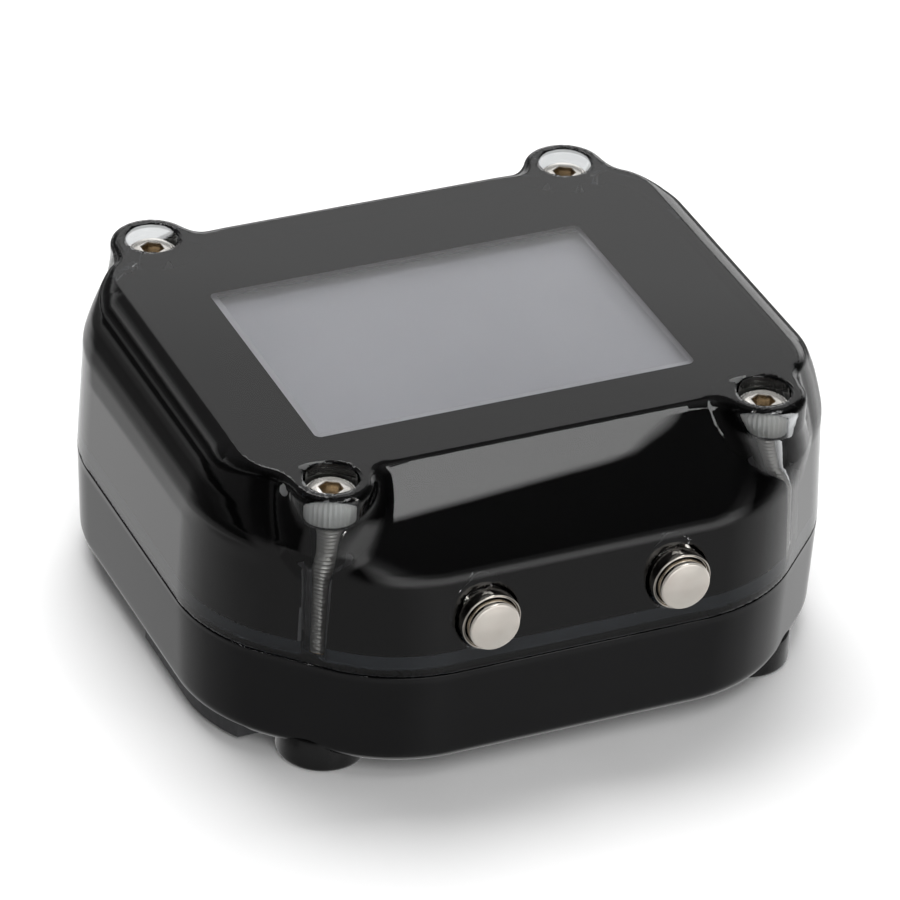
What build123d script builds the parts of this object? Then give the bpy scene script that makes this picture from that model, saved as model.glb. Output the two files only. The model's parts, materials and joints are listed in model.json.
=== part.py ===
from build123d import *
import os
from math import atan2, copysign, degrees, sqrt

# Tire pressure monitor: a sealed, battery-powered display unit.
# A thick clear cover is bolted to a gloss black lower case by four socket-head screws that
# stand in clear corner columns. Two sprung push buttons come out of the front wall.
# +Z is up, the display faces up and the buttons face -Y. The origin is on the surface that
# the feet rest on, under the middle of the whole outline, buttons included.

os.makedirs("parts", exist_ok=True)

# ---- levels, from the foot bottoms up ----
CASE_BOTTOM_Z = 2.2
FLOOR_Z = 4.4
PARTING_Z = 14.0
MASK_BOTTOM_Z = 15.4
FRONT_CREASE_Z = 25.0
SIDE_CREASE_Z = 29.2
SCREW_SEAT_Z = 30.0
TOP_Z = 34.2

# ---- plan of the housing ----
BOTTOM_HALF_WIDTH = 36.7
BOTTOM_HALF_DEPTH = 35.8
BOTTOM_CORNER_CUT = 57.3
PARTING_HALF_WIDTH = 37.1
PARTING_HALF_DEPTH = 36.2
PARTING_CORNER_CUT = 57.9
CREASE_HALF_WIDTH = 36.65
CREASE_HALF_DEPTH = 35.0
CREASE_CORNER_CUT = 57.3
SHOULDER_HALF_WIDTH = 36.45
SHOULDER_HALF_DEPTH = 30.6
SHOULDER_CORNER_CUT = 55.7
TOP_HALF_WIDTH = 33.8
TOP_HALF_DEPTH = 25.3
TOP_CORNER_CUT = 53.2
WALL_CORNER_R = 18.0
SHOULDER_CORNER_R = 14.0
TOP_CORNER_R = 10.0
BOTTOM_EDGE_R = 2.0

# ---- shells ----
COVER_WALL = 2.2
COVER_ROOF = 2.0
MASK_GAP = 0.15
MASK_WALL = 1.0
MASK_TOP_Z = TOP_Z - COVER_ROOF
CASE_WALL = 3.2
SEAL_INSET = 0.7
SEAL_WIDTH = 1.2
SEAL_DEPTH = 1.2
WINDOW = (44.0, 29.3)
WINDOW_CENTRE = (-0.5, -1.95)

# ---- corner screws, M3 socket head ----
SCREW_X = 25.0
SCREW_Y = 25.7
SCREW_HEAD_R = 2.75
SCREW_HEAD_H = 3.0
SCREW_R = 1.5
SCREW_LENGTH = 20.0
SCREW_CHAMFER = 0.3
HEX_ACROSS_FLATS = 2.5
HEX_DEPTH = 1.5
COUNTERBORE_R = 2.95
CLEARANCE_R = 1.6
BOSS_R = 4.65
BOSS_EDGE_R = 0.8
BOSS_BOTTOM_Z = 24.5
COLUMN_R = 2.95
RIB_WIDTH = 2.7
RIB_REACH = 4.0
INSERT_R = 2.1
INSERT_LENGTH = 6.0
INSERT_BOSS_R = 3.6
COLUMN_GAP = 0.15

# ---- feet ----
FOOT_R = 5.0
FOOT_EDGE_R = 0.6
FOOT_TOP_Z = 3.8
FOOT_GAP = 0.3

# ---- push buttons ----
BUTTON_X = 11.0
BUTTON_Z = 19.9
BUTTON_TRAVEL = 0.7
CAP_R = 2.93
CAP_FRONT_Y = -38.2
CAP_BACK_Y = -35.2
CAP_SHELL = 0.5
CAP_FACE = 1.3
CAP_EDGE_R = 0.35
STEM_R = 1.2
STEM_END_Y = -29.6
CLIP_R = 2.2
CLIP_THICKNESS = 0.5
BUSHING_R = 3.35
BUSHING_FRONT_Y = -37.1
BUSHING_BACK_Y = -30.9
BUSHING_EDGE_R = 0.25
RUNNING_GAP = 0.07
RECESS_BOTTOM_Y = -33.9
STEM_BORE_R = 1.25
FLANGE_R = 3.9
FLANGE_FRONT_Y = -31.7
PAD_R = 4.6
BUTTON_HOLE_R = 3.6
GLAND_R = 2.3
GLAND_FRONT_Y = -33.2
GLAND_BACK_Y = -32.3
SEAL_STEM_GAP = 0.02
SPRING_R = 1.8
SPRING_WIRE_R = 0.2
SPRING_TURNS = 3.5

# ---- tactile switches, hung under the front of the board ----
SWITCH_SIZE = (6.0, 3.5, 3.6)
SWITCH_FRONT_Y = -28.2
PLUNGER_R = 1.0
PLUNGER_TIP_Y = -28.8

# ---- circuit board ----
BOARD_BOTTOM_Z = 21.8
BOARD_THICKNESS = 1.6
BOARD_TOP_Z = BOARD_BOTTOM_Z + BOARD_THICKNESS
BOARD_WIDTH = 63.0
BOARD_DEPTH = 38.0
BOARD_TAB_WIDTH = 38.0
BOARD_TAB_DEPTH = 54.0
POST_X = 29.2
POST_Y = 16.0
POST_R = 1.9
BOARD_SCREW_R = 1.0
BOARD_SCREW_HOLE_R = 1.15
BOARD_SCREW_HEAD_R = 1.8
BOARD_SCREW_HEAD_H = 1.3
BOARD_SCREW_LENGTH = 6.0

# ---- display ----
GLASS_SIZE = (49.0, 34.0, 2.0)
BACKLIGHT_SIZE = (47.0, 32.0, 2.6)
HOLDER_SIZE = (52.0, 37.0)
HOLDER_LEDGE = 4.0
GASKET_THICKNESS = 0.5
GLASS_TOP_Z = MASK_TOP_Z - MASK_WALL - GASKET_THICKNESS
FIT_GAP = 0.1

# ---- battery, a 17 x 34.5 mm lithium cell ----
CELL_R = 8.5
CELL_LENGTH = 33.0
CELL_TIP_R = 3.2
CELL_TIP_LENGTH = 1.5
CELL_EDGE_R = 0.6
CONTACT_THICKNESS = 0.5
CONTACT_WIDTH = 5.0
CONTACT_LOW_Z = 6.0
CONTACT_SPRING_LENGTH = 3.5
CONTACT_SPRING_R = 4.0
WELL_LENGTH = CELL_LENGTH + CELL_TIP_LENGTH + CONTACT_SPRING_LENGTH + 2 * CONTACT_THICKNESS
WELL_SIZE = (WELL_LENGTH, 18.0)
WELL_X = -7.0
WELL_Y = -11.2
WELL_WALL = 1.2
WELL_TOP_Z = 13.0
WELL_LOW_X = WELL_X - WELL_LENGTH / 2
WELL_HIGH_X = WELL_X + WELL_LENGTH / 2
CELL_LOW_X = WELL_LOW_X + CONTACT_THICKNESS + CONTACT_SPRING_LENGTH
CELL_Z = FLOOR_Z + CELL_R
CONTACT_WIRE_R = 0.4
CONTACT_SPRING_TURNS = 3.5

# ---- battery door, under the front left of the case ----
DOOR_BOTTOM_Z = 0.7
DOOR_LEFT_X = -35.85
DOOR_RIGHT_X = 20.0
DOOR_FRONT_Y = -22.0
DOOR_BACK_Y = -0.6
DOOR_CORNER_R = 1.2
DOOR_INSET = 1.0
DOOR_SEAL_WIDTH = 1.2
DOOR_SEAL_DEPTH = 0.8
DOOR_SCREW_R = 1.0
DOOR_SCREW_HEAD_R = 1.9
DOOR_SCREW_HEAD_H = 0.9
DOOR_SCREW_LENGTH = 5.0
DOOR_SCREW_X = (-31.2, 17.2)
DOOR_BOSS_R = 2.4
DOOR_BOSS_TOP_Z = 7.0

# ---- parts on the board ----
CHIP_SIZE = (10.0, 10.0, 1.2)
CHIP_PLACE = (0.0, 8.0)
DRIVER_SIZE = (9.0, 3.0, 1.0)
MODULE_SIZE = (18.0, 15.0, 0.8)
MODULE_PLACE = (-18.0, 8.0)
SHIELD_SIZE = (12.0, 10.0, 2.0)
BUZZER_PLACE = (22.0, 12.0)
BUZZER_R = 6.0
BUZZER_HEIGHT = 5.5
BUZZER_HOLE_R = 1.0
ANTENNA_R = 2.4
ANTENNA_WIRE_R = 0.4
ANTENNA_PITCH = 2.0
ANTENNA_TURNS = 8
ANTENNA_HIGH_X = -2.0
ANTENNA_EDGE = 4.0
ANTENNA_GAP = 0.2

# ---- how far joined solids run into each other, and cuts run past a face ----
OVERLAP = 1.0

# The outline is centred on the case, which sits behind the origin by half of what the
# buttons stand out in front.
CASE_SHIFT_Y = (-CAP_FRONT_Y - PARTING_HALF_DEPTH) / 2

CORNERS = [(x, y) for x in (-SCREW_X, SCREW_X) for y in (-SCREW_Y, SCREW_Y)]
POSTS = [(x, y) for x in (-POST_X, POST_X) for y in (-POST_Y, POST_Y)]

CASE_STATIONS = (
    (CASE_BOTTOM_Z, BOTTOM_HALF_WIDTH, BOTTOM_HALF_DEPTH, BOTTOM_CORNER_CUT, WALL_CORNER_R),
    (PARTING_Z, PARTING_HALF_WIDTH, PARTING_HALF_DEPTH, PARTING_CORNER_CUT, WALL_CORNER_R),
)
COVER_STATIONS = (
    (PARTING_Z, PARTING_HALF_WIDTH, PARTING_HALF_DEPTH, PARTING_CORNER_CUT, WALL_CORNER_R),
    (FRONT_CREASE_Z, CREASE_HALF_WIDTH, CREASE_HALF_DEPTH, CREASE_CORNER_CUT, WALL_CORNER_R),
    (SIDE_CREASE_Z, SHOULDER_HALF_WIDTH, SHOULDER_HALF_DEPTH, SHOULDER_CORNER_CUT,
     SHOULDER_CORNER_R),
    (TOP_Z, TOP_HALF_WIDTH, TOP_HALF_DEPTH, TOP_CORNER_CUT, TOP_CORNER_R),
)


# ---- helpers ----

def outline(station, inset=0.0, drop=0.0):
    """One level of the housing: a rectangle with flats across its corners, all rounded."""
    level, half_width, half_depth, cut, radius = station
    a = half_width - inset
    b = half_depth - inset
    c = cut - inset * sqrt(2)
    quarter = [(a, c - a), (c - b, b)]
    points = quarter + [(-x, y) for x, y in reversed(quarter)]
    points += [(-x, -y) for x, y in points]
    face = make_face(Polyline(*points, close=True))
    rounded = fillet(face.vertices(), radius - inset)
    return Pos(0, 0, level - drop) * rounded


def shell_solid(stations, inset=0.0, drop=0.0):
    """The solid inside a stack of levels, pulled in by inset and lowered by drop."""
    return loft([outline(s, inset, drop) for s in stations], ruled=True)


def rod(radius, low, high, x=0.0, y=0.0):
    """An upright cylinder between two levels."""
    return Pos(x, y, low) * Cylinder(radius, high - low, align=(Align.CENTER, Align.CENTER, Align.MIN))


def block(size, x=0.0, y=0.0, z=0.0):
    """A box on a level, centred on x and y."""
    return Pos(x, y, z) * Box(*size, align=(Align.CENTER, Align.CENTER, Align.MIN))


def rod_y(radius, front, back, x=0.0, z=BUTTON_Z):
    """A cylinder along the buttons' axis, from its front end to its back end."""
    return Pos(x, back, z) * Rot(90, 0, 0) * Cylinder(
        radius, back - front, align=(Align.CENTER, Align.CENTER, Align.MIN))


def slab(low, high):
    """A block wider than the housing, to keep what lies between two levels."""
    span = 3 * PARTING_HALF_WIDTH
    return block((span, span, high - low), 0, 0, low)


def coil(radius, wire, height, turns):
    """A round-wire spring standing on z = 0, its wire ends inside its height."""
    rise = height - 2 * wire
    path = Helix(pitch=rise / turns, height=rise, radius=radius)
    section = Plane(origin=path @ 0, z_dir=path % 0) * Circle(wire)
    return Pos(0, 0, wire) * sweep(section, path=path, is_frenet=True)


def save(name, *solids):
    """Write one node's STEP file, in the finished frame."""
    placed = [Pos(0, CASE_SHIFT_Y, 0) * s for s in solids]
    shape = placed[0] if len(placed) == 1 else Compound(children=placed)
    shape.label = name
    export_step(shape, f"parts/{name}.step")


# ---- housing ----

def top_cover():
    """Clear cover: walls, roof, four screw columns and the two button holes."""
    body = shell_solid(COVER_STATIONS)
    cover = body - shell_solid(COVER_STATIONS, COVER_WALL, COVER_ROOF)
    for x, y in CORNERS:
        boss = rod(BOSS_R, BOSS_BOTTOM_Z, TOP_Z, x, y)
        rim = boss.edges().filter_by(GeomType.CIRCLE).group_by(Axis.Z)[-1]
        cover += fillet(rim, BOSS_EDGE_R)
        column = rod(COLUMN_R, PARTING_Z, BOSS_BOTTOM_Z, x, y)
        outward = degrees(atan2(copysign(1, y), copysign(1, x)))
        rib = Pos(x, y, PARTING_Z) * Rot(0, 0, outward) * Box(
            RIB_REACH, RIB_WIDTH, BOSS_BOTTOM_Z - PARTING_Z,
            align=(Align.MIN, Align.CENTER, Align.MIN))
        cover += (column + rib) & body
    for x, y in CORNERS:
        cover -= rod(CLEARANCE_R, PARTING_Z - OVERLAP, TOP_Z, x, y)
        cover -= rod(COUNTERBORE_R, SCREW_SEAT_Z, TOP_Z + OVERLAP, x, y)
    for x in (-BUTTON_X, BUTTON_X):
        cover -= rod_y(BUTTON_HOLE_R, -PARTING_HALF_DEPTH - OVERLAP, FLANGE_FRONT_Y, x)
    return cover


def inner_mask():
    """Black moulded mask behind the cover, with the display window and four board posts."""
    inset = COVER_WALL + MASK_GAP
    outer = shell_solid(COVER_STATIONS, inset, COVER_ROOF)
    inner = shell_solid(COVER_STATIONS, inset + MASK_WALL, COVER_ROOF + MASK_WALL)
    mask = (outer - inner) & slab(MASK_BOTTOM_Z, TOP_Z)
    for x, y in POSTS:
        mask += rod(POST_R, BOARD_TOP_Z, MASK_TOP_Z - MASK_WALL / 2, x, y) & outer
        mask -= rod(BOARD_SCREW_R, BOARD_TOP_Z, BOARD_BOTTOM_Z + BOARD_SCREW_LENGTH, x, y)
    window_low = MASK_TOP_Z - MASK_WALL - OVERLAP
    mask -= block((*WINDOW, MASK_WALL + 2 * OVERLAP), *WINDOW_CENTRE, window_low)
    for x in (-BUTTON_X, BUTTON_X):
        mask += rod_y(PAD_R, -PARTING_HALF_DEPTH, FLANGE_FRONT_Y, x) & outer
        mask -= rod_y(BUSHING_R, -PARTING_HALF_DEPTH, FLANGE_FRONT_Y, x)
        mask -= rod_y(FLANGE_R, FLANGE_FRONT_Y, SWITCH_FRONT_Y, x)
    for x, y in CORNERS:
        mask -= rod(COLUMN_R + COLUMN_GAP, PARTING_Z, BOSS_BOTTOM_Z, x, y)
        mask -= rod(BOSS_R + COLUMN_GAP, BOSS_BOTTOM_Z - COLUMN_GAP, TOP_Z, x, y)
    return mask


def door_outline(gap=0.0):
    """Plan of the battery door: a rounded rectangle kept inside the case's own corner."""
    width = DOOR_RIGHT_X - DOOR_LEFT_X + 2 * gap
    depth = DOOR_BACK_Y - DOOR_FRONT_Y + 2 * gap
    middle = ((DOOR_LEFT_X + DOOR_RIGHT_X) / 2, (DOOR_FRONT_Y + DOOR_BACK_Y) / 2)
    return Pos(*middle) * RectangleRounded(width, depth, DOOR_CORNER_R + gap)


def well_block(size, low, high):
    """A box over the battery well, grown or shrunk as its size says."""
    return block((size[0], size[1], high - low), WELL_X, WELL_Y, low)


def bottom_case():
    """Gloss black lower case with insert bosses, seal groove and battery well."""
    body = shell_solid(CASE_STATIONS)
    body = fillet(body.faces().sort_by(Axis.Z)[0].edges(), BOTTOM_EDGE_R)
    cavity = extrude(outline(CASE_STATIONS[0], CASE_WALL, CASE_BOTTOM_Z - FLOOR_Z), PARTING_Z)
    case = body - cavity
    outer_well = (WELL_SIZE[0] + 2 * WELL_WALL, WELL_SIZE[1] + 2 * WELL_WALL)
    case += well_block(outer_well, CASE_BOTTOM_Z + OVERLAP, WELL_TOP_Z) & body
    case -= well_block(WELL_SIZE, 0, PARTING_Z)
    for x in DOOR_SCREW_X:
        case += rod(DOOR_BOSS_R, FLOOR_Z - OVERLAP, DOOR_BOSS_TOP_Z, x, WELL_Y)
    for x, y in CORNERS:
        case += rod(INSERT_BOSS_R, FLOOR_Z - OVERLAP, PARTING_Z, x, y) & body
    for x, y in CORNERS:
        case -= rod(INSERT_R, PARTING_Z - INSERT_LENGTH, PARTING_Z + OVERLAP, x, y)
    groove = extrude(outline(CASE_STATIONS[1], SEAL_INSET, SEAL_DEPTH), SEAL_DEPTH)
    groove -= extrude(outline(CASE_STATIONS[1], SEAL_INSET + SEAL_WIDTH, SEAL_DEPTH), SEAL_DEPTH)
    case -= groove
    plug_rim = (WELL_SIZE[0] + 2 * DOOR_SEAL_WIDTH, WELL_SIZE[1] + 2 * DOOR_SEAL_WIDTH)
    case -= well_block(plug_rim, 0, CASE_BOTTOM_Z + DOOR_SEAL_DEPTH)
    for x in DOOR_SCREW_X:
        case -= rod(DOOR_SCREW_R, 0, DOOR_BOTTOM_Z + DOOR_SCREW_LENGTH, x, WELL_Y)
    return case, groove


def battery_door(case_outside):
    """Matte door that covers the well and wraps under the case's left edge."""
    plate = extrude(Pos(0, 0, DOOR_BOTTOM_Z) * door_outline(), BOTTOM_EDGE_R + DOOR_INSET)
    limit = extrude(outline(CASE_STATIONS[0], DOOR_INSET, CASE_BOTTOM_Z - DOOR_BOTTOM_Z), TOP_Z)
    door = (plate & limit) - case_outside
    door += well_block((WELL_SIZE[0] - 2 * FIT_GAP, WELL_SIZE[1] - 2 * FIT_GAP),
                       DOOR_BOTTOM_Z + OVERLAP, FLOOR_Z)
    for x in DOOR_SCREW_X:
        door -= rod(DOOR_SCREW_R, 0, CASE_BOTTOM_Z + OVERLAP, x, WELL_Y)
        door -= rod(DOOR_SCREW_HEAD_R, 0, DOOR_BOTTOM_Z + DOOR_SCREW_HEAD_H, x, WELL_Y)
    door -= rod(FOOT_R + FOOT_GAP, 0, TOP_Z, -SCREW_X, -SCREW_Y)
    return door


def door_seal():
    """Square-section gasket that fills the step around the battery well."""
    outer = (WELL_SIZE[0] + 2 * DOOR_SEAL_WIDTH, WELL_SIZE[1] + 2 * DOOR_SEAL_WIDTH)
    ring = well_block(outer, CASE_BOTTOM_Z, CASE_BOTTOM_Z + DOOR_SEAL_DEPTH)
    return ring - well_block(WELL_SIZE, 0, PARTING_Z)


# ---- fasteners ----

def cover_screw(x, y):
    """M3 socket-head screw, head up."""
    head_top = SCREW_SEAT_Z + SCREW_HEAD_H
    head = rod(SCREW_HEAD_R, SCREW_SEAT_Z, head_top, x, y)
    head = chamfer(head.edges().filter_by(GeomType.CIRCLE).group_by(Axis.Z)[-1], SCREW_CHAMFER)
    socket = extrude(Pos(x, y, head_top - HEX_DEPTH)
                     * RegularPolygon(HEX_ACROSS_FLATS / 2, 6, major_radius=False), HEX_DEPTH)
    shank = rod(SCREW_R, SCREW_SEAT_Z - SCREW_LENGTH, SCREW_SEAT_Z, x, y)
    return head + shank - socket


def thread_insert(x, y):
    """Brass insert in the lower case that takes a cover screw."""
    ring = rod(INSERT_R, PARTING_Z - INSERT_LENGTH, PARTING_Z, x, y)
    return ring - rod(SCREW_R, 0, TOP_Z, x, y)


def board_screw(x, y):
    """Pan-head screw up through the board into a mask post."""
    shank = rod(BOARD_SCREW_R, BOARD_BOTTOM_Z, BOARD_BOTTOM_Z + BOARD_SCREW_LENGTH, x, y)
    return shank + rod(BOARD_SCREW_HEAD_R, BOARD_BOTTOM_Z - BOARD_SCREW_HEAD_H, BOARD_BOTTOM_Z, x, y)


def door_screw(x):
    """Flat-head screw that holds the battery door."""
    shank = rod(DOOR_SCREW_R, DOOR_BOTTOM_Z, DOOR_BOTTOM_Z + DOOR_SCREW_LENGTH, x, WELL_Y)
    return shank + rod(DOOR_SCREW_HEAD_R, DOOR_BOTTOM_Z, DOOR_BOTTOM_Z + DOOR_SCREW_HEAD_H, x, WELL_Y)


def foot(x, y, case_outside):
    """Rubber foot under one screw boss, shaped to the case's rounded lower edge."""
    pad = rod(FOOT_R, 0, FOOT_TOP_Z, x, y)
    pad = fillet(pad.edges().filter_by(GeomType.CIRCLE).group_by(Axis.Z)[0], FOOT_EDGE_R)
    return pad - case_outside


# ---- push buttons ----

def button(x):
    """Domed cap, hollow behind for its spring, on a thin stem."""
    cap = rod_y(CAP_R, CAP_FRONT_Y, CAP_BACK_Y, x)
    cap = fillet(cap.edges().filter_by(GeomType.CIRCLE).group_by(Axis.Y)[0], CAP_EDGE_R)
    cap -= rod_y(CAP_R - CAP_SHELL, CAP_FRONT_Y + CAP_FACE, CAP_BACK_Y, x)
    return cap + rod_y(STEM_R, CAP_FRONT_Y + CAP_FACE / 2, STEM_END_Y, x)


def button_clip(x):
    """Snap ring that keeps the stem in its bushing."""
    front = BUSHING_BACK_Y + RUNNING_GAP
    return rod_y(CLIP_R, front, front + CLIP_THICKNESS, x) - rod_y(STEM_R, front, 0, x)


def button_bushing(x):
    """Plated sleeve through the wall: the cap runs in its front, the stem in its back."""
    sleeve = rod_y(BUSHING_R, BUSHING_FRONT_Y, BUSHING_BACK_Y, x)
    sleeve = fillet(sleeve.edges().filter_by(GeomType.CIRCLE).group_by(Axis.Y)[0], BUSHING_EDGE_R)
    sleeve += rod_y(FLANGE_R, FLANGE_FRONT_Y, BUSHING_BACK_Y, x)
    sleeve -= rod_y(CAP_R + RUNNING_GAP, BUSHING_FRONT_Y, RECESS_BOTTOM_Y, x)
    sleeve -= rod_y(STEM_BORE_R, BUSHING_FRONT_Y, BUSHING_BACK_Y, x)
    return sleeve - rod_y(GLAND_R, GLAND_FRONT_Y, GLAND_BACK_Y, x)


def button_seal(x):
    """Rubber ring in the bushing's gland, around the stem."""
    ring = rod_y(GLAND_R, GLAND_FRONT_Y, GLAND_BACK_Y, x)
    return ring - rod_y(STEM_R + SEAL_STEM_GAP, GLAND_FRONT_Y, GLAND_BACK_Y, x)


def button_spring(x):
    """Return spring between the bushing's recess and the back of the cap's face."""
    front = CAP_FRONT_Y + CAP_FACE
    spring = coil(SPRING_R, SPRING_WIRE_R, RECESS_BOTTOM_Y - front, SPRING_TURNS)
    return Pos(x, RECESS_BOTTOM_Y, BUTTON_Z) * Rot(90, 0, 0) * spring


def tact_switch(x):
    """Side-push switch hung under the board, with its plunger facing the stem."""
    width, depth, height = SWITCH_SIZE
    body = block(SWITCH_SIZE, x, SWITCH_FRONT_Y + depth / 2, BOARD_BOTTOM_Z - height)
    return body + rod_y(PLUNGER_R, PLUNGER_TIP_Y, SWITCH_FRONT_Y + OVERLAP, x)


# ---- display and board ----

def on_display(size, level):
    """A block centred under the window."""
    return block(size, *WINDOW_CENTRE, level)


def lcd_holder():
    """Frame that stands on the board and carries the backlight and the glass."""
    ledge_top = GLASS_TOP_Z - GLASS_SIZE[2] - BACKLIGHT_SIZE[2]
    steps = (
        (HOLDER_SIZE[0] - 2 * HOLDER_LEDGE, HOLDER_SIZE[1] - 2 * HOLDER_LEDGE,
         BOARD_TOP_Z - OVERLAP),
        (BACKLIGHT_SIZE[0] + FIT_GAP, BACKLIGHT_SIZE[1] + FIT_GAP, ledge_top),
        (GLASS_SIZE[0] + FIT_GAP, GLASS_SIZE[1] + FIT_GAP, GLASS_TOP_Z - GLASS_SIZE[2]),
    )
    frame = on_display((*HOLDER_SIZE, GLASS_TOP_Z - BOARD_TOP_Z), BOARD_TOP_Z)
    for width, depth, level in steps:
        frame -= on_display((width, depth, TOP_Z), level)
    return frame


def lcd_gasket():
    """Foam frame between the glass and the mask."""
    ring = on_display((GLASS_SIZE[0], GLASS_SIZE[1], GASKET_THICKNESS), GLASS_TOP_Z)
    return ring - on_display((*WINDOW, GASKET_THICKNESS + 2 * OVERLAP), GLASS_TOP_Z - OVERLAP)


def main_board():
    """Circuit board with a front tab for the switches and four screw holes."""
    board = block((BOARD_WIDTH, BOARD_DEPTH, BOARD_THICKNESS), 0, 0, BOARD_BOTTOM_Z)
    board += block((BOARD_TAB_WIDTH, BOARD_TAB_DEPTH, BOARD_THICKNESS), 0, 0, BOARD_BOTTOM_Z)
    for x, y in POSTS:
        board -= rod(BOARD_SCREW_HOLE_R, 0, TOP_Z, x, y)
    return board


def on_underside(size, x, y):
    """A block mounted under the board."""
    return block(size, x, y, BOARD_BOTTOM_Z - size[2])


def buzzer():
    """Round buzzer under the board with its sound hole facing down."""
    low = BOARD_BOTTOM_Z - BUZZER_HEIGHT
    can = rod(BUZZER_R, low, BOARD_BOTTOM_Z, *BUZZER_PLACE)
    return can - rod(BUZZER_HOLE_R, low, BOARD_BOTTOM_Z - OVERLAP, *BUZZER_PLACE)


def antenna():
    """Helical receiving antenna lying under the back of the board."""
    length = ANTENNA_PITCH * ANTENNA_TURNS
    spring = coil(ANTENNA_R, ANTENNA_WIRE_R, length, ANTENNA_TURNS)
    height = BOARD_BOTTOM_Z - ANTENNA_R - ANTENNA_WIRE_R - ANTENNA_GAP
    place = Pos(ANTENNA_HIGH_X - length, BOARD_TAB_DEPTH / 2 - ANTENNA_EDGE, height)
    return place * Rot(0, 90, 0) * spring


# ---- battery ----

def along_x(radius, low, high):
    """A cylinder along the battery's axis."""
    return Pos(low, WELL_Y, CELL_Z) * Rot(0, 90, 0) * Cylinder(
        radius, high - low, align=(Align.CENTER, Align.CENTER, Align.MIN))


def battery_cell():
    """Lithium cell with its raised positive tip towards +X."""
    shoulder = CELL_LOW_X + CELL_LENGTH
    can = along_x(CELL_R, CELL_LOW_X, shoulder)
    can = fillet(can.edges().filter_by(GeomType.CIRCLE), CELL_EDGE_R)
    return can + along_x(CELL_TIP_R, shoulder - OVERLAP, shoulder + CELL_TIP_LENGTH)


def contact_plate(x):
    """Flat contact that stands in the end of the well and reaches up to the board."""
    size = (CONTACT_THICKNESS, CONTACT_WIDTH, BOARD_BOTTOM_Z - CONTACT_LOW_Z)
    return block(size, x, WELL_Y, CONTACT_LOW_Z)


def contact_spring():
    """Coil that presses the cell against the far contact."""
    spring = coil(CONTACT_SPRING_R, CONTACT_WIRE_R, CONTACT_SPRING_LENGTH, CONTACT_SPRING_TURNS)
    return Pos(WELL_LOW_X + CONTACT_THICKNESS, WELL_Y, CELL_Z) * Rot(0, 90, 0) * spring


def main():
    case, groove = bottom_case()
    outside = fillet(shell_solid(CASE_STATIONS).faces().sort_by(Axis.Z)[0].edges(), BOTTOM_EDGE_R)
    save("top_cover", top_cover())
    save("inner_mask", inner_mask())
    save("bottom_case", case)
    save("case_seal", groove)
    save("cover_screws", *[cover_screw(x, y) for x, y in CORNERS])
    save("thread_inserts", *[thread_insert(x, y) for x, y in CORNERS])
    save("feet", *[foot(x, y, outside) for x, y in CORNERS])
    for side, x in (("left", -BUTTON_X), ("right", BUTTON_X)):
        save(f"{side}_button", button(x))
        save(f"{side}_button_clip", button_clip(x))
        save(f"{side}_button_bushing", button_bushing(x))
        save(f"{side}_button_seal", button_seal(x))
        save(f"{side}_button_spring", button_spring(x))
        save(f"{side}_switch", tact_switch(x))
    glass_bottom = GLASS_TOP_Z - GLASS_SIZE[2]
    save("lcd_glass", on_display(GLASS_SIZE, glass_bottom))
    save("lcd_backlight", on_display(BACKLIGHT_SIZE, glass_bottom - BACKLIGHT_SIZE[2]))
    save("lcd_holder", lcd_holder())
    save("lcd_gasket", lcd_gasket())
    save("main_board", main_board())
    save("board_screws", *[board_screw(x, y) for x, y in POSTS])
    save("microcontroller", on_underside(CHIP_SIZE, *CHIP_PLACE))
    save("display_driver", on_display(DRIVER_SIZE, BOARD_TOP_Z))
    save("radio_module", on_underside(MODULE_SIZE, *MODULE_PLACE))
    shield_low = BOARD_BOTTOM_Z - MODULE_SIZE[2] - SHIELD_SIZE[2]
    save("radio_shield", block(SHIELD_SIZE, *MODULE_PLACE, shield_low))
    save("antenna", antenna())
    save("buzzer", buzzer())
    save("battery_cell", battery_cell())
    save("battery_plus_contact", contact_plate(WELL_HIGH_X - CONTACT_THICKNESS / 2))
    save("battery_minus_contact", contact_plate(WELL_LOW_X + CONTACT_THICKNESS / 2))
    save("battery_spring", contact_spring())
    save("battery_door", battery_door(outside))
    save("door_seal", door_seal())
    save("door_screws", *[door_screw(x) for x in DOOR_SCREW_X])


main()
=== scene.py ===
import json
from math import cos, pi, sin, sqrt

import bmesh
import bpy
import numpy as np
from mathutils import Matrix, Vector

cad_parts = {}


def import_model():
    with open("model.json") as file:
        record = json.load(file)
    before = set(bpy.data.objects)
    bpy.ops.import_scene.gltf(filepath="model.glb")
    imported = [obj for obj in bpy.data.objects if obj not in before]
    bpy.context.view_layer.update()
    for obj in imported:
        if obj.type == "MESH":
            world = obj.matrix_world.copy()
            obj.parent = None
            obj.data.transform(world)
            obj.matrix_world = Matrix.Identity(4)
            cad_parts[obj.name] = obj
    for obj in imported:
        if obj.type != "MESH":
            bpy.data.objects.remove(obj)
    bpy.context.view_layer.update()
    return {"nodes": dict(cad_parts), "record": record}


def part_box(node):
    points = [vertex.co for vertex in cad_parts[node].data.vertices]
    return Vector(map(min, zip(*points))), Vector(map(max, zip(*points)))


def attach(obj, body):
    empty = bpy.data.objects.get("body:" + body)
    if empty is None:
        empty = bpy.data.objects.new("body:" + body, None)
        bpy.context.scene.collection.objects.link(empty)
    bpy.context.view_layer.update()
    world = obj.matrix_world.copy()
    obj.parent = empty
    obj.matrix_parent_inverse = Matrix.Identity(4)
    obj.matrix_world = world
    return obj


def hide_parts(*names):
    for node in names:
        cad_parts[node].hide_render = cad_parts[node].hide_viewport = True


# Looks of the tire pressure monitor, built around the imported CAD.
# Shapes are worked out in millimetres, in the CAD's own frame, and make_object() turns them
# into metres.

MM = 0.001

TINY = 1e-9

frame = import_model()


# ---- places, read from the CAD ----

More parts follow.
